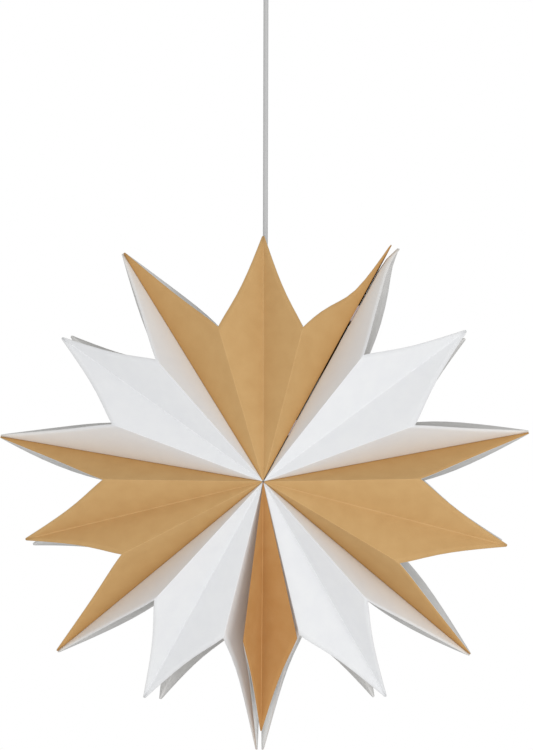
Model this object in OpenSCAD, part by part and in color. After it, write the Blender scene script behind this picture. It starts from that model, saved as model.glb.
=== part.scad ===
// Hanging paper star lamp: eight folded paper sheets opened round a lampholder on a cord from a ceiling cup.
// Origin: middle of the ceiling strap's upper face, on the cord's axis. Z up, the star faces -Y.

/* [Star] */
// radius from the axis to a seam tip, mm
star_radius = 300; // [200:1:450]
// from the mid plane to the front centre, half of the star's depth, mm
half_depth = 100; // [60:1:160]
// thickness of the paper, mm
paper_thickness = 0.4; // [0.2:0.05:1]
// air left in a glued seam on each side of its middle, mm
glue_gap = 0.05; // [0.02:0.01:0.2]
// height of the star's axis below the ceiling, mm
star_drop = 620; // [400:1:2000]
// notch distance from the axis, as a share of the measured one
notch_scale = 1; // [0.85:0.01:1.1]
// middle ridge tip distance from the axis, as a share of the measured one
ridge_scale = 1; // [0.85:0.01:1.05]
// bow of the facets, as a share of the distance from the centre
facet_bow = 0.006; // [0:0.001:0.02]
// straight share of a front cut edge's rise from its notch to its tip, the rest is drawn out in a point
cut_fullness = 0.55; // [0.3:0.01:1]
// how late the drawn out share rises
cut_power = 3.5; // [1.5:0.1:6]

/* [Walls] */
// where the glued walls start, from the axis, mm
wall_start = 15; // [8:1:40]
// width of wall left beside each seam ridge, mm
wall_band = 38; // [20:1:60]
// where the window's round end starts, from the axis, mm
window_round_start = 114; // [60:1:160]
// outer end of the window, from the axis, mm
window_end = 130; // [80:1:180]
// half height of a seam tip's blunt end, mm
tip_half_height = 1.5; // [0.8:0.1:4]

/* [Closure] */
// half of the open gap at the closure seam, mm
closure_half_gap = 0.5; // [0.3:0.1:3]
// angle from the closure seam's middle to each of its front edges, degrees
closure_spread = 0.25; // [0.1:0.05:1]
// half of the gap between the walls of the squeezed sheet at the axis, mm
squeeze_half_gap = 0.5; // [0.4:0.05:2]
// how far the squeezed sheet's loose folds stand out of the centre, mm
squeeze_proud = 1.4; // [1:0.1:4]
// length of an adhesive pad along the seam, mm
pad_length = 20; // [8:1:40]
// depth of an adhesive pad, mm
pad_depth = 14; // [6:1:30]
// how far a pad sits behind the seam ridge, mm
pad_inset = 1.2; // [0.4:0.1:6]
// distance of the inner pad from the front centre along the seam, as a share of the star's radius
pad_inner_at = 0.237; // [0.17:0.001:0.37]
// distance of the outer pad from the front centre along the seam, as a share of the star's radius
pad_outer_at = 0.747; // [0.5:0.001:0.8]

/* [Cord] */
// outer diameter of the cord, mm
cord_diameter = 5.6; // [4:0.1:8]
// facets round the cord
cord_sides = 12; // [8:1:12]

/* [Lampholder] */
// height of the cap's top above the star's axis, mm
holder_top = 50; // [40:1:80]
// length of the cap, mm
cap_length = 20; // [16:0.5:30]
// outer diameter of the cap, mm
cap_diameter = 24; // [20:0.5:34]
// length of the threaded body, mm
body_length = 31; // [28:0.5:33]
// outer diameter of the threaded body, mm
body_diameter = 28; // [24:0.5:34]
// height of the body's neck inside the cap, mm
body_neck = 5; // [3:0.5:8]
// wall of the cap, mm
cap_wall = 2; // [1.5:0.1:4]
// outer diameter of a shade ring, mm
shade_ring_diameter = 43; // [36:0.5:60]
// thickness of a shade ring, mm
shade_ring_thickness = 6; // [4:0.5:12]
// grips round each shade ring
shade_ring_grips = 12; // [6:1:24]
// running fit of the rings, the cap and the contact shell on the body, on the radius, mm
ring_fit = 0.15; // [0.05:0.05:0.4]
// outer diameter of the contact shell, mm
contact_shell_diameter = 16; // [15:0.1:17.5]
// wall of the contact shell, mm
contact_shell_wall = 0.6; // [0.4:0.1:1]
// length of the contact shell, mm
contact_shell_length = 22; // [16:0.5:28]

/* [Carrier] */
// wire diameter, mm
wire_diameter = 2.4; // [1.5:0.1:4]
// how far the wire ends reach past the walls, mm
wire_end = 10; // [6:0.5:20]
// height of the upturned wire ends, mm
wire_upturn = 8; // [4:0.5:16]

/* [Bulb] */
// diameter of the globe, mm
globe_diameter = 45; // [35:1:60]
// length of the bulb from its contact to the bottom of the globe, mm
bulb_length = 78; // [65:1:100]
// diameter of the bulb's cap, mm
bulb_cap_diameter = 14; // [13.5:0.1:14.4]
// length of the bulb's cap, mm
bulb_cap_length = 22; // [18:0.5:27]
// thickness of the glass, mm
glass_wall = 0.8; // [0.6:0.1:1.5]

/* [Ceiling fitting] */
// outer diameter of the cup, mm
cup_diameter = 90; // [70:1:130]
// height of the cup, mm
cup_height = 52; // [40:1:80]
// wall of the cup, mm
cup_wall = 2; // [1.5:0.1:4]
// diameter of the cup's flat bottom, mm
cup_bottom_diameter = 56; // [40:1:90]
// distance between the two screw holes of the strap, mm
strap_hole_spacing = 60; // [50:0.5:70]
// diameter of the screw holes, mm
strap_hole_diameter = 4.5; // [3.5:0.1:6]
// width of the strap, mm
strap_width = 18; // [14:0.5:24]
// thickness of the strap, mm
strap_thickness = 1.5; // [1:0.1:3]
// length of a strap foot, mm
strap_foot = 15; // [12:0.5:20]
// height of the strap's bridge below the ceiling, mm
strap_drop = 14; // [10:0.5:20]
// outer diameter of the hollow nipple, mm
nipple_diameter = 10; // [9:0.1:12]
// bore of the hollow nipple, mm
nipple_bore = 6.4; // [5:0.1:8]
// how far the nipple stands below the cup, mm
nipple_below_cup = 8; // [6:0.5:12]
// diameter of the nipple's flange, mm
nipple_flange_diameter = 16; // [13:0.5:20]
// thickness of the nipple's flange, mm
nipple_flange = 2; // [1.5:0.1:4]
// fit between the nipple and the holes that it passes, on the radius, mm
nipple_fit = 0.15; // [0.05:0.05:0.4]
// outer diameter of the cord grip, mm
grip_diameter = 16; // [14:0.5:22]
// length of the cord grip, mm
grip_length = 19; // [15:0.5:30]
// diameter of the grip's side screw, mm
grip_screw_diameter = 4; // [3:0.1:5]
// head diameter of the grip's side screw, mm
grip_screw_head = 6.5; // [5.5:0.1:9]
// fit between the cord and the bores that hold it, on the radius, mm
cord_fit = 0.1; // [0.05:0.05:0.3]

/* [Hidden] */
$fn = 64;
eps = 0.01;
facet_steps = 5;          // strips across one facet
stations = 3;             // strips from the wall's start to the cut edge
window_steps = 6;         // strips round the window's end
centre_start = 3;         // where the facets start, from the centre, along the folds
centre_thickness = 0.12;  // paper thins to this at the creased centre
blunt_seam = 0.975;       // share of a seam facet's angle where its cut edge is at full length
blunt_ridge = 0.985;
back_ridge = 0.99;        // length of a back middle fold against the front one
axis_z = -star_drop;

gold = [0.77, 0.61, 0.4];
white = [0.92, 0.92, 0.93];

// Each sheet: its clockwise seam and its anticlockwise one as [azimuth, side gap, azimuth at the back where
// that differs], then its notch fold, middle fold and notch fold at the front as [azimuth, length from the
// axis as a share of the star's radius, height over the mid plane as a share of the half depth]. Then come the
// back folds: their turns against the front ones, their length against them and the fullness of the cut
// beside each seam.
closure_azimuth = 61.75;
sheets = [
  [[closure_azimuth + closure_spread, closure_half_gap, closure_azimuth], [122.1, glue_gap],
   [75.7, 0.582, 0.84], [90.4, 0.911, 0.18], [106.5, 0.59, 0.8],
   [0.1, 0, 0.2], 1.02, [0.55, 0.62]],
  [[10.6, glue_gap], [closure_azimuth - closure_spread, closure_half_gap, closure_azimuth],
   [20.4, 0.589, 0.9], [36.8, 0.932, 0.32], [51.7, 0.589, 0.93],
   [1, -1.3, -1.3], 1.03, [0.62, 0.7]],
  [[-40.1, glue_gap], [10.6, glue_gap],
   [-30.8, 0.579, 0.92], [-14.7, 0.928, 0.36], [1.1, 0.574, 0.93],
   [1.4, 0.6, -1], 1.05, [0.64, 0.64]],
  [[-90.5, squeeze_half_gap + glue_gap], [-40.1, glue_gap],
   [-76.6, 0.577, 0.83], [-60.4, 0.916, 0.24], [-48.6, 0.575, 0.94],
   [0.5, -2.8, -1.2], 1.04, [0.55, 0.66]],
  [[-91.5, glue_gap - squeeze_half_gap], [-90.5, glue_gap - squeeze_half_gap],
   [-97.1, 0.584, 0.99], [-90.6, 0.921, 0.4], [-77.6, 0.584, 0.87],
   [1.5, 0.2, -1.5], 1, [0.55, 0.55]],
  [[-140.4, glue_gap], [-91.5, squeeze_half_gap + glue_gap],
   [-132.5, 0.586, 0.94], [-118.9, 0.918, 0.25], [-104.2, 0.589, 0.88],
   [1.6, 3.4, 1], 1.04, [0.66, 0.55]],
  [[-189.4, glue_gap], [-140.4, glue_gap],
   [-180.5, 0.586, 0.92], [-166.1, 0.913, 0.23], [-152.6, 0.582, 0.89],
   [1, 1.6, 0.4], 1.03, [0.66, 0.58]],
  [[122.1, glue_gap], [170.6, glue_gap],
   [131.5, 0.592, 0.94], [144.9, 0.92, 0.28], [159.5, 0.591, 0.87],
   [0.5, -1.4, -0.6], 1.02, [0.64, 0.58]]
];

function radial(a) = [cos(a), 0, sin(a)];
function tangent(a) = [-sin(a), 0, cos(a)];
function unit(v) = v / norm(v);
function slerp(a, b, f) = let (t = acos(min(1, a * b)))
  t < 0.01 ? a : (a * sin((1 - f) * t) + b * sin(f * t)) / sin(t);
function miter(a, b) = (a + b) / (1 + a * b);

// End of a fold, seen from the star's middle: side is -1 at the front and 1 at the back.
function fold_end(az, r, height, side) = [r * cos(az), side * height, r * sin(az)];
function apex(side) = [0, side * half_depth, 0];

// The five folds of one side of a sheet, each [shift from the apex, unit direction, length].
function fold(end, shift, side) = let (v = end - apex(side)) [shift, unit(v), norm(v)];
function seam_of(seam, side) = side > 0 && len(seam) > 2 ? [seam[2], glue_gap] : seam;
function seam_fold(seam, way, side) = let (s = seam_of(seam, side))
  fold(fold_end(s[0], star_radius, tip_half_height, side), tangent(s[0]) * s[1] * way, side);
function mid_fold(m, turn, reach, scale, side, proud) =
  fold(fold_end(m[0] + (side > 0 ? turn : 0), m[1] * star_radius * scale * (side > 0 ? reach : 1),
                m[2] * half_depth, side), [0, side * proud, 0], side);
function is_squeezed(s) = s[1][0] - s[0][0] < 10;
function side_folds(s, side) = let (proud = is_squeezed(s) ? squeeze_proud : 0) [
  seam_fold(s[0], 1, side),
  mid_fold(s[2], s[5][0], s[6], notch_scale, side, proud),
  mid_fold(s[3], s[5][1], back_ridge, ridge_scale, side, proud),
  mid_fold(s[4], s[5][2], s[6], notch_scale, side, proud),
  seam_fold(s[1], -1, side)
];

// Cut length of a facet at share g of the way from its notch to its tip.
function cut_length(notch, tip, g, full, blunt) = let (h = min(1, g / blunt))
  notch + (tip - notch) * (full * h + (1 - full) * pow(h, cut_power));

// Steps across a facet, from its first fold to its second: finer towards the tip's blunt corner.
seam_shares = [0, 1 - blunt_seam, 0.22, 0.45, 0.7, 1];
ridge_shares = [0, 1 - blunt_ridge, 0.22, 0.45, 0.7, 1];
function reversed(v) = [for (i = [len(v) - 1:-1:0]) v[i]];

// One ray of a facet: [shift, direction with its bow, length].
function facet_ray(a, b, f, tip_first, full, blunt, bow) =
  let (n = unit(cross(a[1], b[1])), g = tip_first ? 1 - f : f,
       l = tip_first ? cut_length(b[2], a[2], g, full, blunt) : cut_length(a[2], b[2], g, full, blunt))
  [a[0] * (1 - f) + b[0] * f, slerp(a[1], b[1], f) + n * bow * sin(180 * f), l];

function side_rays(s, side) =
  let (fo = side_folds(s, side), bow = is_squeezed(s) ? 0 : facet_bow * side,
       full = side > 0 ? s[7] : [cut_fullness, cut_fullness])
  concat(
    [for (i = [0:facet_steps - 1])
      facet_ray(fo[0], fo[1], seam_shares[i], true, full[0], blunt_seam, bow)],
    [for (i = [0:facet_steps - 1])
      facet_ray(fo[1], fo[2], 1 - reversed(ridge_shares)[i], false, cut_fullness, blunt_ridge, -bow)],
    [for (i = [0:facet_steps - 1])
      facet_ray(fo[2], fo[3], ridge_shares[i], true, cut_fullness, blunt_ridge, -bow)],
    [for (i = [0:facet_steps])
      facet_ray(fo[3], fo[4], 1 - reversed(seam_shares)[i], false, full[1], blunt_seam, bow)]);

// Distance along a ray at station j.
function station(j, l) = j == 0 ? centre_start : wall_start + (l - wall_start) * (j - 1) / (stations - 1);

// Inward offset of every ray, from the normals of the strips on its two sides.
function strip_normals(rays, side) =
  [for (k = [0:len(rays) - 2]) side * unit(cross(rays[k][1], rays[k + 1][1]))];
function ray_offsets(s, rays, side) = let (n = strip_normals(rays, side), last = len(rays) - 1)
  [for (k = [0:last]) k == 0 ? miter(tangent(seam_of(s[0], side)[0]), n[0])
    : k == last ? miter(n[last - 1], -tangent(seam_of(s[1], side)[0])) : miter(n[k - 1], n[k])];

function side_points(rays, side, off, inner) = [for (k = [0:len(rays) - 1], j = [0:stations])
  apex(side) + rays[k][0] + rays[k][1] * station(j, rays[k][2])
  + (inner ? off[k] * (j == 0 ? centre_thickness : paper_thickness) : [0, 0, 0])];

// Window edge of a wall, from the front inner corner round its end to the back: [radius, y].
slope = half_depth / star_radius;
band_height = wall_band * sqrt(1 + slope * slope);
function window_half(r) = half_depth - slope * r - band_height;
function window_radius(j) = wall_start + (window_round_start - wall_start) * (j - 1) / (stations - 1);
function window_edge() = concat(
  [for (j = [1:stations]) let (r = window_radius(j)) [r, -window_half(r)]],
  [for (i = [1:window_steps - 1]) let (t = 180 * i / window_steps)
    [window_round_start + (window_end - window_round_start) * sin(t),
     -window_half(window_round_start) * cos(t)]],
  [for (j = [stations:-1:1]) let (r = window_radius(j)) [r, window_half(r)]]);
function wall_place(seam, r, offset) = radial(seam[0]) * r + tangent(seam[0]) * offset;
function wall_points(seam, way, inner) = [for (w = window_edge())
  let (f = seam_of(seam, -1), b = seam_of(seam, 1), t = (1 + w[1] / (half_depth - slope * w[0])) / 2,
       more = inner ? paper_thickness : 0)
  wall_place(f, w[0], way * (f[1] + more)) * (1 - t) + wall_place(b, w[0], way * (b[1] + more)) * t
  + [0, w[1], 0]];

// Triangles of the sheet's outer skin. The vertex order is front rays, back rays, first wall, second wall.
rays_n = 4 * facet_steps + 1;
row = stations + 1;
edge_n = 2 * stations + window_steps - 1;
skin_n = 2 * rays_n * row + 2 * edge_n;
function f_at(k, j) = k * row + j;
function b_at(k, j) = rays_n * row + k * row + j;
function w_at(wall, i) = 2 * rays_n * row + wall * edge_n + i;
function quad(a, b, c, d) = [[a, b, c], [a, c, d]];
function flip(tris) = [for (t = tris) [t[2], t[1], t[0]]];
function join(lists) = [for (l = lists) for (t = l) t];

function pleat_faces() = join([for (k = [0:rays_n - 2], j = [0:stations - 1])
  concat(quad(f_at(k, j), f_at(k + 1, j), f_at(k + 1, j + 1), f_at(k, j + 1)),
         quad(b_at(k, j), b_at(k, j + 1), b_at(k + 1, j + 1), b_at(k + 1, j)))]);
function wall_faces(wall) = let (k = wall == 0 ? 0 : rays_n - 1, half = window_steps / 2, n = stations,
    tip_f = f_at(k, n), tip_b = b_at(k, n), e = function(i) w_at(wall, i), last = edge_n - 1,
    tris = concat(
      join([for (j = [1:n - 1]) quad(f_at(k, j), f_at(k, j + 1), e(j), e(j - 1))]),
      [for (i = [0:half - 1]) [tip_f, e(n + i), e(n - 1 + i)]],
      [[tip_f, tip_b, e(n - 1 + half)]],
      [for (i = [half:window_steps - 1]) [tip_b, e(n + i), e(n - 1 + i)]],
      join([for (j = [1:n - 1]) quad(b_at(k, j + 1), b_at(k, j), e(last - j + 1), e(last - j))])))
  wall == 0 ? tris : flip(tris);
function skin_faces() = concat(pleat_faces(), wall_faces(0), wall_faces(1));

// The two edges of the sheet, one round the axis and one at the cut tips, as loops of vertices.
last_ray = rays_n - 1;
function inner_loop() = concat(
  [for (k = [0:last_ray]) f_at(k, 0)], [f_at(last_ray, 1)],
  [for (i = [0:edge_n - 1]) w_at(1, i)], [b_at(last_ray, 1)],
  [for (k = [last_ray:-1:0]) b_at(k, 0)], [b_at(0, 1)],
  [for (i = [edge_n - 1:-1:0]) w_at(0, i)], [f_at(0, 1)]);
function outer_loop() = concat(
  [for (k = [last_ray:-1:0]) f_at(k, stations)], [for (k = [0:last_ray]) b_at(k, stations)]);
function rim_faces(loop) = join([for (i = [0:len(loop) - 1])
  let (a = loop[i], b = loop[(i + 1) % len(loop)]) quad(b, a, a + skin_n, b + skin_n)]);

module sheet(i) {
  s = sheets[i];
  front = side_rays(s, -1);
  back = side_rays(s, 1);
  off_f = ray_offsets(s, front, -1);
  off_b = ray_offsets(s, back, 1);
  points = join([for (inner = [false, true])
    concat(side_points(front, -1, off_f, inner), side_points(back, 1, off_b, inner),
           wall_points(s[0], 1, inner), wall_points(s[1], -1, inner))]);
  skin = skin_faces();
  faces = concat(skin, [for (t = flip(skin)) t + [skin_n, skin_n, skin_n]],
                 rim_faces(inner_loop()), rim_faces(outer_loop()));
  translate([0, 0, axis_z]) polyhedron(points, faces, convexity = 10);
}

module gold_top() color(gold) sheet(0);
module white_upper_right() color(white) sheet(1);
module gold_right() color(gold) sheet(2);
module white_lower_right() color(white) sheet(3);
module gold_bottom() color(gold) sheet(4);
module white_lower_left() color(white) sheet(5);
module gold_left() color(gold) sheet(6);
module white_upper_left() color(white) sheet(7);

// Places children with X along the closure seam's front ridge, Y across the gap and Z out of the seam.
ridge_angle = atan(slope);
module on_closure(at) {
  translate([0, 0, axis_z]) translate(apex(-1))
    multmatrix([[cos(closure_azimuth) * cos(ridge_angle), -sin(closure_azimuth),
                 cos(closure_azimuth) * sin(ridge_angle), 0],
                [sin(ridge_angle), 0, -cos(ridge_angle), 0],
                [sin(closure_azimuth) * cos(ridge_angle), cos(closure_azimuth),
                 sin(closure_azimuth) * sin(ridge_angle), 0],
                [0, 0, 0, 1]]) translate([at, 0, 0]) children();
}
// The walls open from each other outwards and close towards the back: half of the gap at a distance along
// the ridge, as wide as it is at the pad's back edge.
function half_gap_at(at) = let (r = at * cos(ridge_angle), behind = (pad_inset + pad_depth) / cos(ridge_angle))
  (closure_half_gap + r * tan(closure_spread)) * (1 - behind / (2 * (half_depth - slope * r))) - glue_gap;
module pad(share) color([0.87, 0.82, 0.82]) {
  at = share * star_radius;
  wide = half_gap_at(at - pad_length / 2);
  wider = half_gap_at(at + pad_length / 2);
  on_closure(at) translate([-pad_length / 2, 0, -pad_inset - pad_depth]) linear_extrude(pad_depth)
    polygon([[0, -wide], [pad_length, -wider], [pad_length, wider], [0, wide]]);
}
module closure_pad_inner() pad(pad_inner_at);
module closure_pad_outer() pad(pad_outer_at);

// Heights of the lampholder, from the ceiling.
cap_top = axis_z + holder_top;
body_top = cap_top - cap_length;
body_bottom = body_top - body_length;
ring_gap_top = body_top - 10; // underside of the upper shade ring
ring_gap_bottom = ring_gap_top - wire_diameter;
body_web = 4;             // solid part at the body's top
cap_roof = 8;             // solid part at the cap's top, which holds the cord
wire_hole_at = 4.5;       // the two conductors' holes, from the axis
wire_hole = 2.6;
disc_thickness = 1;
contact_pad = 1;
bulb_top = body_top - body_web - disc_thickness - contact_pad;

module tube(z0, z1, outer, inner) difference() {
  translate([0, 0, z0]) cylinder(h = z1 - z0, d = outer);
  translate([0, 0, z0 - 1]) cylinder(h = z1 - z0 + 2, d = inner);
}

module lampholder_cap() color([0.93, 0.93, 0.92]) difference() {
  rotate_extrude() polygon([[0, body_top], [cap_diameter / 2, body_top],
    [cap_diameter / 2, cap_top - cap_roof], [cap_diameter / 2 - cap_wall, cap_top - cap_roof / 2],
    [cap_diameter / 4, cap_top], [0, cap_top]]);
  translate([0, 0, body_top - 1]) cylinder(h = cap_length - cap_roof + 1, d = cap_diameter - 2 * cap_wall);
  translate([0, 0, body_top]) cylinder(h = cap_length + 1, d = cord_diameter + 2 * cord_fit);
}
module lampholder_body() color([0.93, 0.93, 0.92]) difference() {
  union() {
    translate([0, 0, body_bottom]) cylinder(h = body_length, d = body_diameter);
    translate([0, 0, body_bottom])
      cylinder(h = body_length + body_neck, d = cap_diameter - 2 * cap_wall - 2 * ring_fit);
  }
  translate([0, 0, body_bottom - 1])
    cylinder(h = body_length - body_web + 1, d = contact_shell_diameter + 2 * ring_fit);
  for (x = [-1, 1]) translate([x * wire_hole_at, 0, body_top - body_web - 1])
    cylinder(h = body_web + body_neck + 2, d = wire_hole);
}
module shade_ring(z0) difference() {
  union() {
    translate([0, 0, z0]) cylinder(h = shade_ring_thickness, d = shade_ring_diameter - 2);
    for (i = [0:shade_ring_grips - 1]) rotate([0, 0, i * 360 / shade_ring_grips])
      translate([shade_ring_diameter / 2 - 1.5, 0, z0]) cylinder(h = shade_ring_thickness, d = 3);
  }
  translate([0, 0, z0 - 1]) cylinder(h = shade_ring_thickness + 2, d = body_diameter + 2 * ring_fit);
}
module shade_ring_upper() color([0.93, 0.93, 0.92]) shade_ring(ring_gap_top);
module shade_ring_lower() color([0.93, 0.93, 0.92]) shade_ring(ring_gap_bottom - shade_ring_thickness);
module contact_shell() color([0.8, 0.66, 0.36])
  tube(body_top - body_web - contact_shell_length, body_top - body_web, contact_shell_diameter,
       contact_shell_diameter - 2 * contact_shell_wall);
module contact_disc() color([0.9, 0.88, 0.82]) difference() {
  translate([0, 0, bulb_top + contact_pad])
    cylinder(h = disc_thickness, d = contact_shell_diameter - 2 * contact_shell_wall - ring_fit);
  translate([0, 0, bulb_top]) cylinder(h = 3, d = 3);
}
module centre_contact() color([0.8, 0.66, 0.36]) union() {
  translate([0, 0, bulb_top]) cylinder(h = contact_pad + disc_thickness, d = 2.8);
  translate([0, 0, bulb_top]) cylinder(h = contact_pad, d = 5);
}

// Tube along points that lie in one plane with the Y axis, mitred where it bends.
function path_step(p, k) = let (n = len(p) - 1) unit(p[min(k + 1, n)] - p[min(k, n - 1)]);
function path_ring(p, k, d, sides) =
  let (after = path_step(p, k), t = unit(path_step(p, max(k - 1, 0)) + after),
       v = cross(t, [0, 1, 0]) / (t * after))
  [for (i = [0:sides - 1]) p[k] + d / 2 * ([0, cos(i * 360 / sides), 0] + v * sin(i * 360 / sides))];
module path_tube(p, d, sides) {
  n = len(p);
  polyhedron(join([for (k = [0:n - 1]) path_ring(p, k, d, sides)]), concat(
    [[for (i = [0:sides - 1]) i], [for (i = [sides - 1:-1:0]) (n - 1) * sides + i]],
    join([for (k = [0:n - 2], i = [0:sides - 1]) let (m = (i + 1) % sides)
      quad(k * sides + i, (k + 1) * sides + i, (k + 1) * sides + m, k * sides + m)])));
}
wire_sides = 10;
hook_radius = window_end - wire_diameter / 2 - 0.1;
ring_z = ring_gap_bottom + wire_diameter / 2;
plate_width = 4;          // ring plate that the two arms are welded to, held between the shade rings
arm_start = body_diameter / 2 + ring_fit + plate_width / 2;
function hook_point(az, along) = [0, 0, axis_z] + radial(az) * hook_radius + tangent(az) * along;
module carrier_arm(az, way) {
  side = sign(cos(az));
  outside = hook_point(az, way * wire_end);
  path_tube([[arm_start * side, 0, ring_z], [(shade_ring_diameter / 2 + 4) * side, 0, ring_z],
    hook_point(az, -way * 5), outside, outside + radial(az) * wire_upturn], wire_diameter - 0.2, wire_sides);
}
module star_carrier() color([0.75, 0.76, 0.78]) {
  tube(ring_gap_bottom, ring_gap_top, body_diameter + 2 * (ring_fit + plate_width),
       body_diameter + 2 * ring_fit);
  carrier_arm(sheets[0][1][0], 1);
  carrier_arm(closure_azimuth, -1);
}

globe_z = bulb_top - bulb_length + globe_diameter / 2;
neck_radius = bulb_cap_diameter / 2 - 0.6;
bulb_seat = 12;           // depth of the glass neck's seat in the bulb's cap
module bulb_cap() color([0.78, 0.78, 0.76]) difference() {
  union() {
    translate([0, 0, bulb_top - bulb_cap_length]) cylinder(h = bulb_cap_length - 3, d = bulb_cap_diameter);
    translate([0, 0, bulb_top - 3]) cylinder(h = 3, d1 = bulb_cap_diameter, d2 = 6);
  }
  translate([0, 0, bulb_top - bulb_cap_length - 1]) cylinder(h = bulb_seat + 1, r = neck_radius);
}
// The glass is a hollow of revolution: a neck in the cap, a cone and the globe.
neck_join = 35;
function bulb_outline(shrink) = let (r = globe_diameter / 2 - shrink, n = neck_radius - shrink) concat(
  [for (a = [-90:15:90 - neck_join]) [r * cos(a), globe_z + r * sin(a)]],
  [[n + 1.5, bulb_top - bulb_cap_length - 3], [n, bulb_top - bulb_cap_length], [n, bulb_top - bulb_seat]]);
module bulb_glass() color([0.96, 0.96, 0.94]) rotate_extrude()
  polygon(concat(bulb_outline(0), reversed(bulb_outline(glass_wall))));

// The cord hangs straight. It ends inside the cap below and above the nipple in the ceiling cup.
cord_low = body_top + body_neck;
cord_high = -8;
cord_rings = 16;
cord_points = [for (k = [0:cord_rings]) [0, 0, cord_low + (cord_high - cord_low) * k / cord_rings]];
module cord() color([0.7, 0.7, 0.7]) path_tube(cord_points, cord_diameter, cord_sides);

// Ceiling fitting.
half_span = strap_hole_spacing / 2;
bridge_half = half_span - strap_foot / 2;
module ceiling_strap() color([0.7, 0.71, 0.73]) difference() {
  translate([0, strap_width / 2, 0]) rotate([90, 0, 0]) linear_extrude(strap_width) polygon([
    [-half_span - strap_foot / 2, 0], [-half_span - strap_foot / 2, -strap_thickness],
    [-bridge_half, -strap_thickness], [-bridge_half, -strap_drop - strap_thickness],
    [bridge_half, -strap_drop - strap_thickness], [bridge_half, -strap_thickness],
    [half_span + strap_foot / 2, -strap_thickness], [half_span + strap_foot / 2, 0],
    [bridge_half - strap_thickness, 0], [bridge_half - strap_thickness, -strap_drop],
    [-bridge_half + strap_thickness, -strap_drop], [-bridge_half + strap_thickness, 0]]);
  for (x = [-1, 1]) translate([x * half_span, 0, -strap_thickness - 1])
    cylinder(h = strap_thickness + 2, d = strap_hole_diameter);
  translate([0, 0, -strap_drop - strap_thickness - 1])
    cylinder(h = strap_thickness + 2, d = nipple_diameter + 2 * nipple_fit);
}
nipple_bottom = -cup_height - nipple_below_cup;
cup_waist = cup_height * 0.62;  // depth at which the cup's side turns in
cup_draft = 1.5;                // how much narrower it is there, on the radius
cup_edge = 3;                   // height of the slope round its bottom
module hollow_nipple() color([0.8, 0.66, 0.36]) difference() {
  union() {
    translate([0, 0, nipple_bottom]) cylinder(h = -strap_drop - nipple_bottom, d = nipple_diameter);
    translate([0, 0, -strap_drop]) cylinder(h = nipple_flange, d = nipple_flange_diameter);
  }
  translate([0, 0, nipple_bottom - 1]) cylinder(h = 2 - nipple_bottom, d = nipple_bore);
}
module ceiling_cup() color([0.94, 0.94, 0.93]) difference() {
  rotate_extrude() difference() {
    polygon([[0, 0], [cup_diameter / 2, 0], [cup_diameter / 2 - cup_draft, -cup_waist],
      [cup_bottom_diameter / 2 + 2 * cup_edge, -cup_height + cup_edge],
      [cup_bottom_diameter / 2, -cup_height], [0, -cup_height]]);
    polygon([[0, eps], [cup_diameter / 2 - cup_wall, eps],
      [cup_diameter / 2 - cup_draft - cup_wall, -cup_waist],
      [cup_bottom_diameter / 2 + 1.5 * cup_edge, -cup_height + cup_edge + cup_wall],
      [0, -cup_height + cup_wall]]);
  }
  translate([0, 0, -cup_height - 1]) cylinder(h = cup_wall + 2, d = nipple_diameter + 2 * nipple_fit);
}
grip_bottom = -cup_height - grip_length;
grip_screw_z = grip_bottom + 5;
grip_thread_fit = 0.05;
screw_head_height = 2;
slot_depth = 0.8;
slot_width = 0.8;
module cord_grip() color([0.94, 0.94, 0.93]) difference() {
  rotate_extrude() polygon([[0, -cup_height], [grip_diameter / 2, -cup_height],
    [grip_diameter / 2, grip_bottom + 3], [grip_diameter / 2 - 2, grip_bottom], [0, grip_bottom]]);
  translate([0, 0, nipple_bottom - 0.5])
    cylinder(h = nipple_below_cup + 1.5, d = nipple_diameter + 2 * grip_thread_fit);
  translate([0, 0, grip_bottom - 1]) cylinder(h = grip_length + 2, d = cord_diameter + 2 * cord_fit);
  translate([cord_diameter / 2, 0, grip_screw_z]) rotate([0, 90, 0])
    cylinder(h = grip_diameter, d = grip_screw_diameter + 2 * grip_thread_fit);
}
module grip_screw() color([0.9, 0.9, 0.88]) difference() {
  union() {
    translate([cord_diameter / 2, 0, grip_screw_z]) rotate([0, 90, 0])
      cylinder(h = (grip_diameter - cord_diameter) / 2, d = grip_screw_diameter);
    translate([grip_diameter / 2, 0, grip_screw_z]) rotate([0, 90, 0])
      cylinder(h = screw_head_height, d = grip_screw_head);
  }
  translate([grip_diameter / 2 + screw_head_height - slot_depth, 0, grip_screw_z])
    translate([0, -grip_screw_head, -slot_width / 2]) cube([slot_depth + 1, 2 * grip_screw_head, slot_width]);
}

gold_top();
white_upper_right();
gold_right();
white_lower_right();
gold_bottom();
white_lower_left();
gold_left();
white_upper_left();
closure_pad_inner();
closure_pad_outer();
lampholder_cap();
lampholder_body();
shade_ring_upper();
shade_ring_lower();
contact_shell();
contact_disc();
centre_contact();
star_carrier();
bulb_cap();
bulb_glass();
cord();
ceiling_strap();
hollow_nipple();
ceiling_cup();
cord_grip();
grip_screw();
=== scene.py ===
import math

import bmesh
import bpy
import numpy as np
from mathutils import Matrix, Vector


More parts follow.
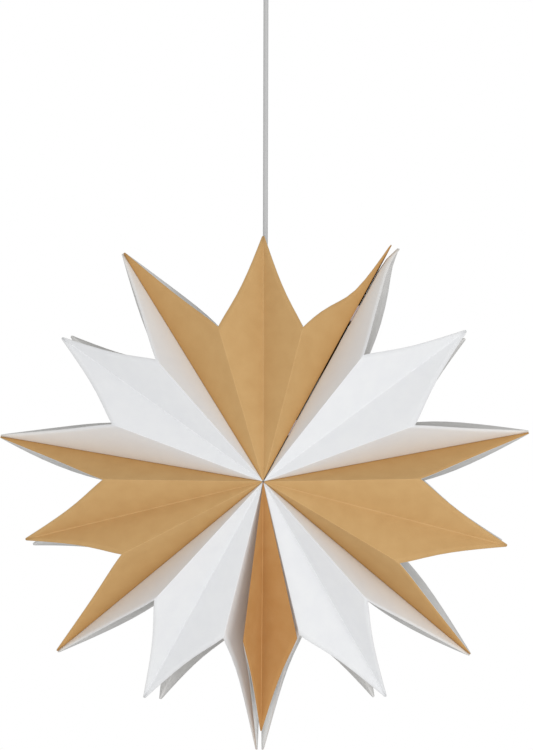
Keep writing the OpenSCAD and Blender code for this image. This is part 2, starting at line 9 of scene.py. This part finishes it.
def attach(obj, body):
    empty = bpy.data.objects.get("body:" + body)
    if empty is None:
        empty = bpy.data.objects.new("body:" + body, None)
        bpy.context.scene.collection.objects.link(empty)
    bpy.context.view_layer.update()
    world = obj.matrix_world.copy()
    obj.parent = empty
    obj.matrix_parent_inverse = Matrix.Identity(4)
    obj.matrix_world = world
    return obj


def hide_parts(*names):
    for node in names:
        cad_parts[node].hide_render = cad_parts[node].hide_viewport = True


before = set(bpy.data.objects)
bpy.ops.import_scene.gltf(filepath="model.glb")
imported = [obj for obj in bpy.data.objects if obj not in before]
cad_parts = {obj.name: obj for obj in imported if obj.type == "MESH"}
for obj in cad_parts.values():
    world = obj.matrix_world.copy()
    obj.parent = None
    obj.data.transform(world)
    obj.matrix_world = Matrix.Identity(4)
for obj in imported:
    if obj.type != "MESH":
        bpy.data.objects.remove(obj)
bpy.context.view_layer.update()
mm = 0.001
# the star's own sizes, in mm: its axis runs front to back at the height axisZ below the ceiling
star = {"radius": 300, "halfDepth": 100, "axisZ": -620, "thickness": 0.4, "glueGap": 0.05}


def linear(hexColour, alpha=1.0):
    """sRGB hex to a linear colour."""
    channels = [int(hexColour[i : i + 2], 16) / 255 for i in (1, 3, 5)]
    return (*[c / 12.92 if c <= 0.04045 else ((c + 0.055) / 1.055) ** 2.4 for c in channels], alpha)


def addObject(name, data):
    obj = bpy.data.objects.new(name, data)
    bpy.context.scene.collection.objects.link(obj)
    return obj


# camera: lengths in metres and angles in degrees, from the star's axis, and the sensor in mm
view = {"distance": 4.0, "right": 0.96, "above": 0.45, "imageHeight": 0.840, "aimX": 0.0017, "aimZ": -0.5015,
        "roll": 0.15, "sensor": 36.0, "near": 0.1, "far": 100}


def makeCamera():
    data = bpy.data.cameras.new("camera")
    data.sensor_width = view["sensor"]
    data.lens = view["sensor"] * view["distance"] / view["imageHeight"]
    data.clip_start, data.clip_end = view["near"], view["far"]
    obj = addObject("camera", data)
    place = Vector((
        math.tan(math.radians(view["right"])) * view["distance"],
        -view["distance"],
        star["axisZ"] * mm + math.tan(math.radians(view["above"])) * view["distance"],
    ))
    target = Vector((view["aimX"], 0, view["aimZ"]))
    turn = (target - place).to_track_quat("-Z", "Y").to_matrix().to_4x4()
    roll = Matrix.Rotation(math.radians(view["roll"]), 4, "Z")
    obj.matrix_world = Matrix.Translation(place) @ turn @ roll
    return obj


print("camera")
bpy.context.scene.camera = makeCamera()

# cord: from the lampholder up into the ceiling cup, in mm
cord = {"diameter": 5.6, "low": -585, "high": -8, "points": 17, "bevelSteps": 4}


def makeCord():
    curve = bpy.data.curves.new("hanging_cord", "CURVE")
    curve.dimensions = "3D"
    # the thickness stands in the points' radius, which Blender's bounds of a curve take in
    curve.bevel_depth = 1
    curve.bevel_resolution = cord["bevelSteps"]
    curve.use_fill_caps = True
    spline = curve.splines.new("POLY")
    count = cord["points"]
    spline.points.add(count - 1)
    heights = np.linspace(cord["low"], cord["high"], count) * mm
    places = np.stack([0 * heights, 0 * heights, heights, 1 + 0 * heights], 1)
    spline.points.foreach_set("co", places.ravel())
    spline.points.foreach_set("radius", np.full(count, cord["diameter"] / 2 * mm))
    return addObject("hanging_cord", curve)


print("cord")
hangingCord = makeCord()
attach(hangingCord, "root")
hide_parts("cord")


def addNode(tree, kind, sets=None, **inputs):
    """One shader node: sets are its own properties, inputs its sockets, by name or number."""
    node = tree.nodes.new(kind)
    for key, value in (sets or {}).items():
        setattr(node, key, value)
    for key, value in inputs.items():
        numbered = key[0] == "n" and key[1:].isdigit()
        socket = node.inputs[int(key[1:])] if numbered else node.inputs[key.replace("_", " ")]
        if isinstance(value, bpy.types.NodeSocket):
            tree.links.new(value, socket)
        else:
            socket.default_value = value
    return node


def mixColour(tree, share, first, second):
    return addNode(tree, "ShaderNodeMix", {"data_type": "RGBA"}, n0=share, n6=first, n7=second).outputs[2]


def attributeTimes(tree, attribute, factor):
    """A point attribute of the mesh times a number."""
    read = addNode(tree, "ShaderNodeAttribute", {"attribute_name": attribute})
    times = addNode(tree, "ShaderNodeMath", {"operation": "MULTIPLY"}, n0=read.outputs["Fac"], n1=factor)
    return times.outputs[0]


def startMaterial(name):
    material = bpy.data.materials.new(name)
    material.use_nodes = True
    tree = material.node_tree
    tree.nodes.clear()
    return material, tree


def finishMaterial(tree, shader):
    addNode(tree, "ShaderNodeOutputMaterial", n0=shader.outputs[0])


def paperMaterial(name, settings):
    """Uncoated card: matte, with fine fibre grain, faint cloudiness, creases painted lighter partly for rubbed
    fibre and partly as painted highlight, and painted reflected light and shade at the seams.
    """
    material, tree = startMaterial(name)
    place = addNode(tree, "ShaderNodeTexCoord").outputs["Object"]
    cloud = addNode(tree, "ShaderNodeTexNoise", Vector=place, Scale=settings["cloudScale"],
                    Detail=settings["cloudDetail"])
    grain = addNode(tree, "ShaderNodeTexNoise", Vector=place, Scale=settings["grainScale"],
                    Detail=settings["grainDetail"], Roughness=settings["grainRoughness"])
    low, high = settings["cloudRange"]
    shade = addNode(tree, "ShaderNodeMapRange", Value=cloud.outputs["Fac"], From_Min=low, From_Max=high,
                    To_Min=0.0, To_Max=1.0)
    colour = mixColour(tree, shade.outputs[0], linear(settings["colour"]), linear(settings["cloud"]))
    # painted reflected light and shade near the seams, where two sheets' facets face each other: the card is
    # mixed towards the seam colour there
    if "seam" in settings:
        paintedSeamBounce = attributeTimes(tree, "seam", settings["seamBounceShare"])
        colour = mixColour(tree, paintedSeamBounce, colour, linear(settings["seam"]))
    # painted highlight together with real rubbing at the folds: the card is mixed towards a lighter colour on
    # every crease
    creaseWearAndHighlight = attributeTimes(tree, "crease", settings["creaseWearAndHighlightShare"])
    colour = mixColour(tree, creaseWearAndHighlight, colour, linear(settings["creaseWearAndHighlight"]))
    bump = addNode(tree, "ShaderNodeBump", Height=grain.outputs["Fac"], Strength=settings["bump"],
                   Distance=settings["bumpDepth"])
    shader = addNode(tree, "ShaderNodeBsdfPrincipled", Base_Color=colour, Normal=bump.outputs[0],
                     Roughness=settings["roughness"], Specular_IOR_Level=settings["specular"])
    finishMaterial(tree, shader)
    return material


# the fine bump of plain surfaces: octaves and depth in metres
relief = {"detail": 3.0, "depth": 0.0003}


def plainMaterial(name, colour, roughness, metallic=0.0, specular=0.5, bump=None):
    """An even surface, with a fine bump of the given scale and strength where it has one."""
    material, tree = startMaterial(name)
    sockets = dict(Base_Color=linear(colour), Roughness=roughness, Metallic=metallic,
                   Specular_IOR_Level=specular)
    if bump:
        scale, strength = bump
        place = addNode(tree, "ShaderNodeTexCoord").outputs["Object"]
        noise = addNode(tree, "ShaderNodeTexNoise", Vector=place, Scale=scale, Detail=relief["detail"])
        raised = addNode(tree, "ShaderNodeBump", Height=noise.outputs["Fac"], Strength=strength,
                         Distance=relief["depth"])
        sockets["Normal"] = raised.outputs[0]
    finishMaterial(tree, addNode(tree, "ShaderNodeBsdfPrincipled", **sockets))
    return material


print("materials")
card = {"cloudScale": 60, "cloudDetail": 3.0, "cloudRange": (0.3, 0.7),
        "grainScale": 2500, "grainDetail": 4.0, "grainRoughness": 0.6, "bumpDepth": 0.0002}
# uncoated gold-brown card, with painted reflected light and shade making it darker and more saturated towards
# the seams, where two sheets face each other
goldPaper = paperMaterial("gold_kraft_card", {
    **card, "colour": "#BE9864", "cloud": "#C39E6A", "creaseWearAndHighlight": "#D9B68A", "creaseWearAndHighlightShare": 0.15, "seam": "#B5813F",
    "seamBounceShare": 0.6, "bump": 0.15, "roughness": 0.75, "specular": 0.25})
# uncoated white card, with painted reflected light from the gold card making it warmer towards the seams
whitePaper = paperMaterial("white_card", {
    **card, "colour": "#E0E1E2", "cloud": "#DDDEE0", "creaseWearAndHighlight": "#F2F2F2", "creaseWearAndHighlightShare": 0.15, "seam": "#E0D2BC",
    "seamBounceShare": 0.5, "bump": 0.12, "roughness": 0.8, "specular": 0.2})
# the narrow bottom sheet: the same gold card painted darker as shade, with its creases painted lighter at a
# larger share
shadedGoldPaper = paperMaterial("gold_kraft_card_painted_shade", {
    **card, "colour": "#B4834C", "cloud": "#B98A54", "creaseWearAndHighlight": "#CFA169", "creaseWearAndHighlightShare": 0.5,
    "bump": 0.15, "roughness": 0.75, "specular": 0.25})
# uncoated inner face of all the card, painted greyer than the white card's outer face as shade inside the star
shadedInnerPaper = paperMaterial("white_card_inside_painted_shade", {
    **card, "colour": "#D4D3D1", "cloud": "#CFCECC", "creaseWearAndHighlight": "#DEDDDB", "creaseWearAndHighlightShare": 0.2,
    "bump": 0.12, "roughness": 0.85, "specular": 0.15})
# smooth grey rubber or plastic cover round the cord's two wires
cordCover = plainMaterial("grey_cord_cover", "#B2B2B2", 0.55, bump=(900, 0.1))
# moulded satin plastic of the lampholder, the ceiling cup and the grip
whitePlastic = plainMaterial("white_moulded_plastic", "#E6E5E1", 0.4)
# bright turned brass of the contacts and the nipple
brassPart = plainMaterial("turned_brass", "#C9A25A", 0.3, metallic=1.0)
# zinc plated steel of the star's carrier wire and the ceiling strap
steelWire = plainMaterial("zinc_plated_steel", "#B9BBBE", 0.35, metallic=1.0)
# drawn aluminium of the bulb's cap, and opal glass of its globe
bulbBase = plainMaterial("drawn_aluminium", "#C4C4C2", 0.35, metallic=1.0)
opalGlass = plainMaterial("opal_glass", "#F0EFEA", 0.12)
# felted hook and loop pads of the closure
felt = plainMaterial("felted_hook_and_loop", "#CFC3C4", 0.95, specular=0.1, bump=(1500, 0.6))

# Paper sheets. cw and ccw are a seam's azimuth in degrees and the sheet's gap beside it in mm. folds are
# notch, middle and notch fold at the front, as azimuth, reach as a share of the star's radius and height
# over the mid plane as a share of the half depth. turns, reach and full belong to the back: the turns of
# its folds in degrees, the factor on the reach of its notch folds and the fullness of its cut beside each
# seam. cuts replaces the law of the cut beside a seam, 0 the cw and 1 the ccw one, at front and back:
# fullness, power and blunt share. bend turns the long tip at the ccw seam aside, in degrees. proud lifts a
# squeezed sheet's loose folds out of the centre and taper is the width over which its card thins beside a
# fold, both in mm. closure and squeeze have gap in mm as half of the open gap at the axis, and spread is
# the angle from the closure's middle to each of its front edges.
glue = star["glueGap"]
closure = {"azimuth": 61.75, "spread": 0.16, "gap": 0.45}
squeeze = {"gap": 0.5, "proud": 1.4, "taper": 7}
goldClosure = (closure["azimuth"] + closure["spread"], closure["gap"])
whiteClosure = (closure["azimuth"] - closure["spread"], closure["gap"])
beside = squeeze["gap"] + glue
between = glue - squeeze["gap"]
sheets = {
    "gold_top": dict(
        cw=goldClosure, ccw=(122.1, glue),
        folds=((75.7, 0.582, 0.84), (90.4, 0.911, 0.18), (106.5, 0.59, 0.8)),
        turns=(0.1, 0, 0.2), reach=1.02, full=(0.55, 0.7), cuts={0: (0.52, 11, 0.995)}),
    "white_upper_right": dict(
        cw=(10.6, glue), ccw=whiteClosure,
        folds=((20.4, 0.589, 0.9), (36.8, 0.932, 0.32), (51.7, 0.589, 0.93)),
        turns=(1, -1.3, -1.3), reach=1.03, full=(0.76, 0.88), bend=1.3),
    "gold_right": dict(
        cw=(-40.1, glue), ccw=(10.6, glue),
        folds=((-30.8, 0.579, 0.92), (-14.7, 0.928, 0.36), (1.1, 0.574, 0.93)),
        turns=(1.4, 0.6, -1), reach=1.05, full=(0.74, 0.78)),
    "white_lower_right": dict(
        cw=(-90.6, beside), ccw=(-40.1, glue),
        folds=((-76.6, 0.577, 0.83), (-60.4, 0.916, 0.24), (-48.6, 0.575, 0.94)),
        turns=(0.5, -2.8, -1.2), reach=1.04, full=(0.55, 0.82), cuts={0: (0.42, 3.5, 0.975)}),
    "gold_bottom": dict(
        cw=(-91.3, between), ccw=(-90.6, between), proud=squeeze["proud"], taper=squeeze["taper"],
        folds=((-97.1, 0.584, 0.99), (-90.6, 0.921, 0.4), (-77.6, 0.584, 0.87)),
        turns=(1.5, 0.2, -1.5), reach=1, full=(0.55, 0.55),
        cuts={0: (0.46, 3.5, 0.975), 1: (0.46, 3.5, 0.975)}),
    "white_lower_left": dict(
        cw=(-140.4, glue), ccw=(-91.3, beside),
        folds=((-132.5, 0.586, 0.94), (-118.9, 0.918, 0.25), (-104.2, 0.589, 0.88)),
        turns=(1.6, 3.4, 1), reach=1.04, full=(0.76, 0.55), cuts={1: (0.4, 3.5, 0.975)}),
    "gold_left": dict(
        cw=(-189.4, glue), ccw=(-140.4, glue),
        folds=((-180.5, 0.586, 0.92), (-166.1, 0.913, 0.23), (-152.6, 0.582, 0.89)),
        turns=(1, 1.6, 0.4), reach=1.03, full=(0.86, 0.62)),
    "white_upper_left": dict(
        cw=(122.1, glue), ccw=(170.6, glue),
        folds=((131.5, 0.592, 0.94), (144.9, 0.92, 0.28), (159.5, 0.591, 0.87)),
        turns=(0.5, -1.4, -0.6), reach=1.02, full=(0.76, 0.68)),
}
# What all sheets share. In mm: crease is half of a rounded fold's width, start where the folds begin,
# tipHalf half of a wall's width at the tip, wallBand the card's width beside a wall's window, windowRound
# and windowEnd where the window's round end starts and ends, and taper the width over which the card thins
# beside a fold. bendSpan is in degrees and weld in metres. The rest are shares, powers and counts.
paper = {
    "crease": 0.55, "creaseMost": 0.09, "start": 0.8, "tipHalf": 1.5, "taper": 0.1, "thinnest": 0.15,
    "bow": 0.006, "full": 0.55, "power": 3.5, "backRidge": 0.99, "bluntSeam": 0.975, "bluntRidge": 0.985,
    "wallBand": 38, "windowRound": 114, "windowEnd": 130, "wallColumns": (0, 0.33, 0.66), "wallCrease": 0.2,
    "bendStart": 0.91, "bendPower": 1.5, "bendSpan": 6,
    "stations": 26, "stationPower": 1.35, "edgePower": 4,
    "columns": (0.08, 0.2, 0.34, 0.5, 0.64, 0.75, 0.85, 0.92, 0.965),
    "weld": 1e-6, "levels": 20,
}


def foldEnd(az, reach, height, side):
    """End of a fold from its azimuth and its shares of the radius and of the half depth."""
    a, r = math.radians(az), reach * star["radius"]
    return np.array([r * math.cos(a), side * height * star["halfDepth"], r * math.sin(a)])


def tangentOf(az):
    a = math.radians(az)
    return np.array([-math.sin(a), 0.0, math.cos(a)])


def centreOf(side):
    """Where the folds of a side meet: the front has the side -1, the back 1."""
    return np.array([0, side * star["halfDepth"], 0])


def makeFold(end, shift, side):
    """A fold from the centre of a side: its shift there, its direction and its length."""
    v = end - centreOf(side)
    return {"shift": shift, "way": v / np.linalg.norm(v), "length": float(np.linalg.norm(v))}


def sideFolds(sheet, side):
    """The five folds of one side of a sheet, from its cw seam to its ccw seam."""
    proud = np.array([0, side * sheet.get("proud", 0), 0])
    seams = []
    for (az, gap), sign in ((sheet["cw"], 1), (sheet["ccw"], -1)):
        if side > 0 and gap == closure["gap"]:
            # the closure's two walls meet at the back
            az, gap = closure["azimuth"], glue
        end = foldEnd(az, 1, paper["tipHalf"] / star["halfDepth"], side)
        seams.append(makeFold(end, tangentOf(az) * gap * sign, side))
    inner = []
    for k, ((az, reach, height), turn) in enumerate(zip(sheet["folds"], sheet["turns"])):
        if side > 0:
            az, reach = az + turn, reach * (paper["backRidge"] if k == 1 else sheet["reach"])
        inner.append(makeFold(foldEnd(az, reach, height, side), proud, side))
    return [seams[0], *inner, seams[1]]


def stationSteps():
    """Places along a fold from the centre, 0, to its end, 1."""
    return np.linspace(0, 1, paper["stations"]) ** paper["stationPower"]


def columnShares(width, blunt):
    """Places across a facet, 0 at its notch and 1 at its tip, for a crease's widths as shares of the facet."""
    e = np.minimum(width, paper["creaseMost"])
    hi = 1 - np.maximum(1 - blunt, 3 * e)
    inner = [2 * e + (hi - 2 * e) * s for s in paper["columns"]]
    return np.stack([0 * e, e, 2 * e, *inner, hi, 1 - 2 * e, 1 - e, 0 * e + 1])


def facetGrid(a, b, tipFirst, cut, bow, side):
    """Points of a facet between two folds, as columns across by stations along."""
    notch, tip = (b, a) if tipFirst else (a, b)
    full, power, blunt = cut
    angle = math.acos(float(np.clip(notch["way"] @ tip["way"], -1, 1)))
    steps = stationSteps()
    tipShares = columnShares(np.array([paper["crease"] / (notch["length"] * angle)]), blunt)[:, 0]
    g = np.minimum(1, tipShares / blunt)
    length = notch["length"] + (tip["length"] - notch["length"]) * (full * g + (1 - full) * g ** power)
    along = paper["start"] + (length[:, None] - paper["start"]) * steps[None, :]
    shares = columnShares(paper["crease"] / (along.mean(0) * angle), blunt)
    # the columns near the cut edge keep the places that the edge was worked out for
    shares = shares + (tipShares[:, None] - shares[:, -1:]) * steps[None, :] ** paper["edgePower"]
    fromNotch = np.sin((1 - shares) * angle)[..., None] * notch["way"]
    fromTip = np.sin(shares * angle)[..., None] * tip["way"]
    normal = np.cross(a["way"], b["way"])
    normal = normal / np.linalg.norm(normal)
    way = (fromNotch + fromTip) / math.sin(angle) + normal * (bow * np.sin(math.pi * shares))[..., None]
    shift = notch["shift"] * (1 - shares[..., None]) + tip["shift"] * shares[..., None]
    points = centreOf(side) + shift + way * along[..., None]
    return points[::-1] if tipFirst else points


def ridgePoints(fold, side):
    along = paper["start"] + (fold["length"] - paper["start"]) * stationSteps()
    return centreOf(side) + fold["shift"] + fold["way"] * along[:, None]


def wallGrid(ridge, side, other):
    """Half of a wall, from its mid edge or window to the seam ridge, towards the other side's ridge."""
    y = ridge[:, 1] * side
    r = np.hypot(ridge[:, 0], ridge[:, 2])
    slope = star["halfDepth"] / star["radius"]
    band = paper["wallBand"] * math.hypot(1, slope)
    straight = star["halfDepth"] - slope * np.minimum(r, paper["windowRound"]) - band
    t = np.clip((r - paper["windowRound"]) / (paper["windowEnd"] - paper["windowRound"]), 0, 1)
    edge = np.clip(straight, 0, None) * np.sqrt(1 - t * t)
    depth = y - edge
    e = np.minimum(paper["crease"], depth * paper["wallCrease"])
    columns = np.stack([*[edge + depth * s for s in paper["wallColumns"]], y - 2 * e, y - e])
    points = np.repeat(ridge[None], len(columns), 0).copy()
    points[:, :, 1] = columns * side
    across = ((y[None] - columns) / (2 * y[None]))[..., None]
    points[:, :, 0::2] += (other[None, :, 0::2] - points[:, :, 0::2]) * across
    return points


def bentTip(points, sheet):
    """The long tip at the sheet's ccw seam, turned clockwise towards its end."""
    r = np.hypot(points[..., 0], points[..., 2])
    az = np.degrees(np.arctan2(points[..., 2], points[..., 0]))
    share = np.clip((r / star["radius"] - paper["bendStart"]) / (1 - paper["bendStart"]), 0, 1)
    near = np.abs(az - sheet["ccw"][0]) < paper["bendSpan"]
    turned = np.radians(az - sheet["bend"] * share ** paper["bendPower"] * near)
    return np.stack([r * np.cos(turned), points[..., 1], r * np.sin(turned)], -1)


def foldMarks(points, marks, sheet):
    """For each point: 1 on a fold, the share of painted reflected light and shade from 1 at the seams to 0,
    and the card's thickness as a share.
    """
    crease = np.zeros(points.shape[:2])
    crease[marks] = 1
    columns = np.arange(len(points))
    # share of the painted reflected light and shade: 1 at the seams, falling to 0 at the notch folds
    seam = np.interp(columns, [marks[0], marks[1], marks[3], marks[4]], [1, 0, 0, 1])
    seam = np.repeat(seam[:, None] ** 2, points.shape[1], 1)
    nearest = np.array(marks)[np.argmin(np.abs(columns[:, None] - np.array(marks)[None, :]), 1)]
    away = np.linalg.norm(points - points[nearest], axis=2)
    # the card thins where two layers lie close together beside a fold
    return crease, seam, np.clip(away / sheet.get("taper", paper["taper"]), paper["thinnest"], 1)


def sideGrid(sheet, side):
    """All columns of one side of a sheet, from one wall's mid edge round its four facets to the other's."""
    folds = sideFolds(sheet, side)
    bow = 0 if "proud" in sheet else paper["bow"] * side
    full = sheet["full"] if side > 0 else (paper["full"], paper["full"])
    cuts = [(f, paper["power"], paper["bluntSeam"]) for f in full]
    for end, cut in sheet.get("cuts", {}).items():
        cuts[end] = cut
    ridge = (paper["full"], paper["power"], paper["bluntRidge"])
    facets = [facetGrid(folds[0], folds[1], True, cuts[0], bow, side),
              facetGrid(folds[1], folds[2], False, ridge, -bow, side),
              facetGrid(folds[2], folds[3], True, ridge, -bow, side),
              facetGrid(folds[3], folds[4], False, cuts[1], bow, side)]
    others = sideFolds(sheet, -side)
    first = wallGrid(facets[0][0], side, ridgePoints(others[0], -side))
    last = wallGrid(facets[3][-1], side, ridgePoints(others[4], -side))
    points = np.concatenate([first, facets[0], *[f[1:] for f in facets[1:]], last[::-1]])
    marks = [len(first)]
    for f in facets:
        marks.append(marks[-1] + len(f) - 1)
    # every fold is rounded off by the columns beside it
    rounded = points.copy()
    for k in marks:
        rounded[k] = points[k] * 0.5 + (points[k - 1] + points[k + 1]) * 0.25
    if "bend" in sheet:
        rounded = bentTip(rounded, sheet)
    return rounded, *foldMarks(points, marks, sheet)


def gridFaces(columns, rows, first, turned):
    a = (np.arange(columns - 1)[:, None] * rows + np.arange(rows - 1)[None, :]).ravel() + first
    faces = np.stack([a, a + rows, a + rows + 1, a + 1], 1)
    return faces[:, ::-1] if turned else faces


def sheetMesh(name, sheet):
    """The outer face of a folded sheet: front and back half, joined at the walls' mid edges."""
    front, *frontMarks = sideGrid(sheet, -1)
    back, *backMarks = sideGrid(sheet, 1)
    points = np.concatenate([front.reshape(-1, 3), back.reshape(-1, 3)])
    points = (points + [0, 0, star["axisZ"]]) * mm
    size = front.shape[0] * front.shape[1]
    faces = np.concatenate([gridFaces(*front.shape[:2], 0, True), gridFaces(*back.shape[:2], size, False)])
    mesh = bpy.data.meshes.new(name)
    mesh.from_pydata(points.tolist(), [], faces.tolist())
    for label, *values in zip(("crease", "seam", "thick"), frontMarks, backMarks):
        mesh.attributes.new(label, "FLOAT", "POINT").data.foreach_set(
            "value", np.concatenate([v.ravel() for v in values]))
    joined = bmesh.new()
    joined.from_mesh(mesh)
    bmesh.ops.remove_doubles(joined, verts=joined.verts, dist=paper["weld"])
    joined.to_mesh(mesh)
    joined.free()
    mesh.polygons.foreach_set("use_smooth", np.ones(len(mesh.polygons), bool))
    return mesh


def addThickness(obj):
    """The card's thickness, inwards from the outer face, with the inner face in the second material."""
    shares = np.zeros(len(obj.data.vertices))
    obj.data.attributes["thick"].data.foreach_get("value", shares)
    group = obj.vertex_groups.new(name="card")
    levels = np.round(shares * paper["levels"]).astype(int)
    for level in np.unique(levels):
        group.add(np.flatnonzero(levels == level).tolist(), level / paper["levels"], "REPLACE")
    thick = obj.modifiers.new("thickness", "SOLIDIFY")
    thick.vertex_group = group.name
    thick.thickness = star["thickness"] * mm
    thick.offset = -1
    thick.material_offset = 1
    thick.material_offset_rim = 1


def makeSheet(name, sheet):
    gold = name.startswith("gold")
    mesh = sheetMesh(name, sheet)
    mesh.materials.append(shadedGoldPaper if "proud" in sheet else goldPaper if gold else whitePaper)
    mesh.materials.append(shadedInnerPaper)
    obj = addObject(name + "_paper", mesh)
    addThickness(obj)
    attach(obj, "root")
    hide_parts(name)


print("sheets")
for name, sheet in sheets.items():
    makeSheet(name, sheet)

# pieces that keep their CAD shape, with their finish
finishes = {
    "closure_pad_inner": felt, "closure_pad_outer": felt, "lampholder_cap": whitePlastic,
    "lampholder_body": whitePlastic, "shade_ring_upper": whitePlastic, "shade_ring_lower": whitePlastic,
    "contact_shell": brassPart, "contact_disc": whitePlastic, "centre_contact": brassPart,
    "star_carrier": steelWire, "bulb_cap": bulbBase, "bulb_glass": opalGlass, "ceiling_strap": steelWire,
    "hollow_nipple": brassPart, "ceiling_cup": whitePlastic, "cord_grip": whitePlastic,
    "grip_screw": whitePlastic,
}
print("finishes")
for name, material in finishes.items():
    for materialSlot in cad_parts[name].material_slots:
        materialSlot.material = material
hangingCord.data.materials.append(cordCover)

# studio: soft lamps in metres and watts, each aimed at the star's centre
lights = {
    "key": dict(at=(4.4, -5.2, 0.4), size=3.2, power=134),
    "fill": dict(at=(-3.4, -4.2, -0.3), size=3.0, power=44),
    "under": dict(at=(0.2, -2.4, -2.1), size=2.0, power=16),
}
studio = {"sky": 0.7, "backdrop": 1.0, "floorHalf": 3, "floorZ": -2.4}


def addLight(name, light):
    data = bpy.data.lights.new(name, "AREA")
    data.size = light["size"]
    data.energy = light["power"]
    lamp = addObject(name, data)
    lamp.location = light["at"]
    lamp.rotation_mode = "QUATERNION"
    aim = Vector((0, 0, star["axisZ"] * mm)) - lamp.location
    lamp.rotation_quaternion = aim.to_track_quat("-Z", "Y")


def makeWorld():
    """Even white surroundings, dimmer as a lamp than as the camera and mirrors or glass see them."""
    world = bpy.data.worlds.new("studio")
    world.use_nodes = True
    tree = world.node_tree
    tree.nodes.clear()
    sky, seen = [addNode(tree, "ShaderNodeBackground", Color=(1, 1, 1, 1), Strength=studio[key])
                 for key in ("sky", "backdrop")]
    rays = addNode(tree, "ShaderNodeLightPath").outputs
    glossy = addNode(tree, "ShaderNodeMath", {"operation": "MAXIMUM"},
                     n0=rays["Is Camera Ray"], n1=rays["Is Glossy Ray"])
    straight = addNode(tree, "ShaderNodeMath", {"operation": "MAXIMUM"},
                       n0=glossy.outputs[0], n1=rays["Is Transmission Ray"])
    both = addNode(tree, "ShaderNodeMixShader",
                   n0=straight.outputs[0], n1=sky.outputs[0], n2=seen.outputs[0])
    addNode(tree, "ShaderNodeOutputWorld", Surface=both.outputs[0])
    return world


def makeFloor():
    half, z = studio["floorHalf"], studio["floorZ"]
    mesh = bpy.data.meshes.new("floor")
    corners = [(-half, -half, z), (half, -half, z), (half, half, z), (-half, half, z)]
    mesh.from_pydata(corners, [], [(0, 1, 2, 3)])
    mesh.materials.append(plainMaterial("pale_floor", "#F2F2F2", 0.8, specular=0.1))
    return addObject("floor", mesh)


print("light and floor")
for name, light in lights.items():
    addLight(name, light)
bpy.context.scene.world = makeWorld()
makeFloor()
bpy.context.scene.view_settings.view_transform = "Standard"

bpy.context.view_layer.update()
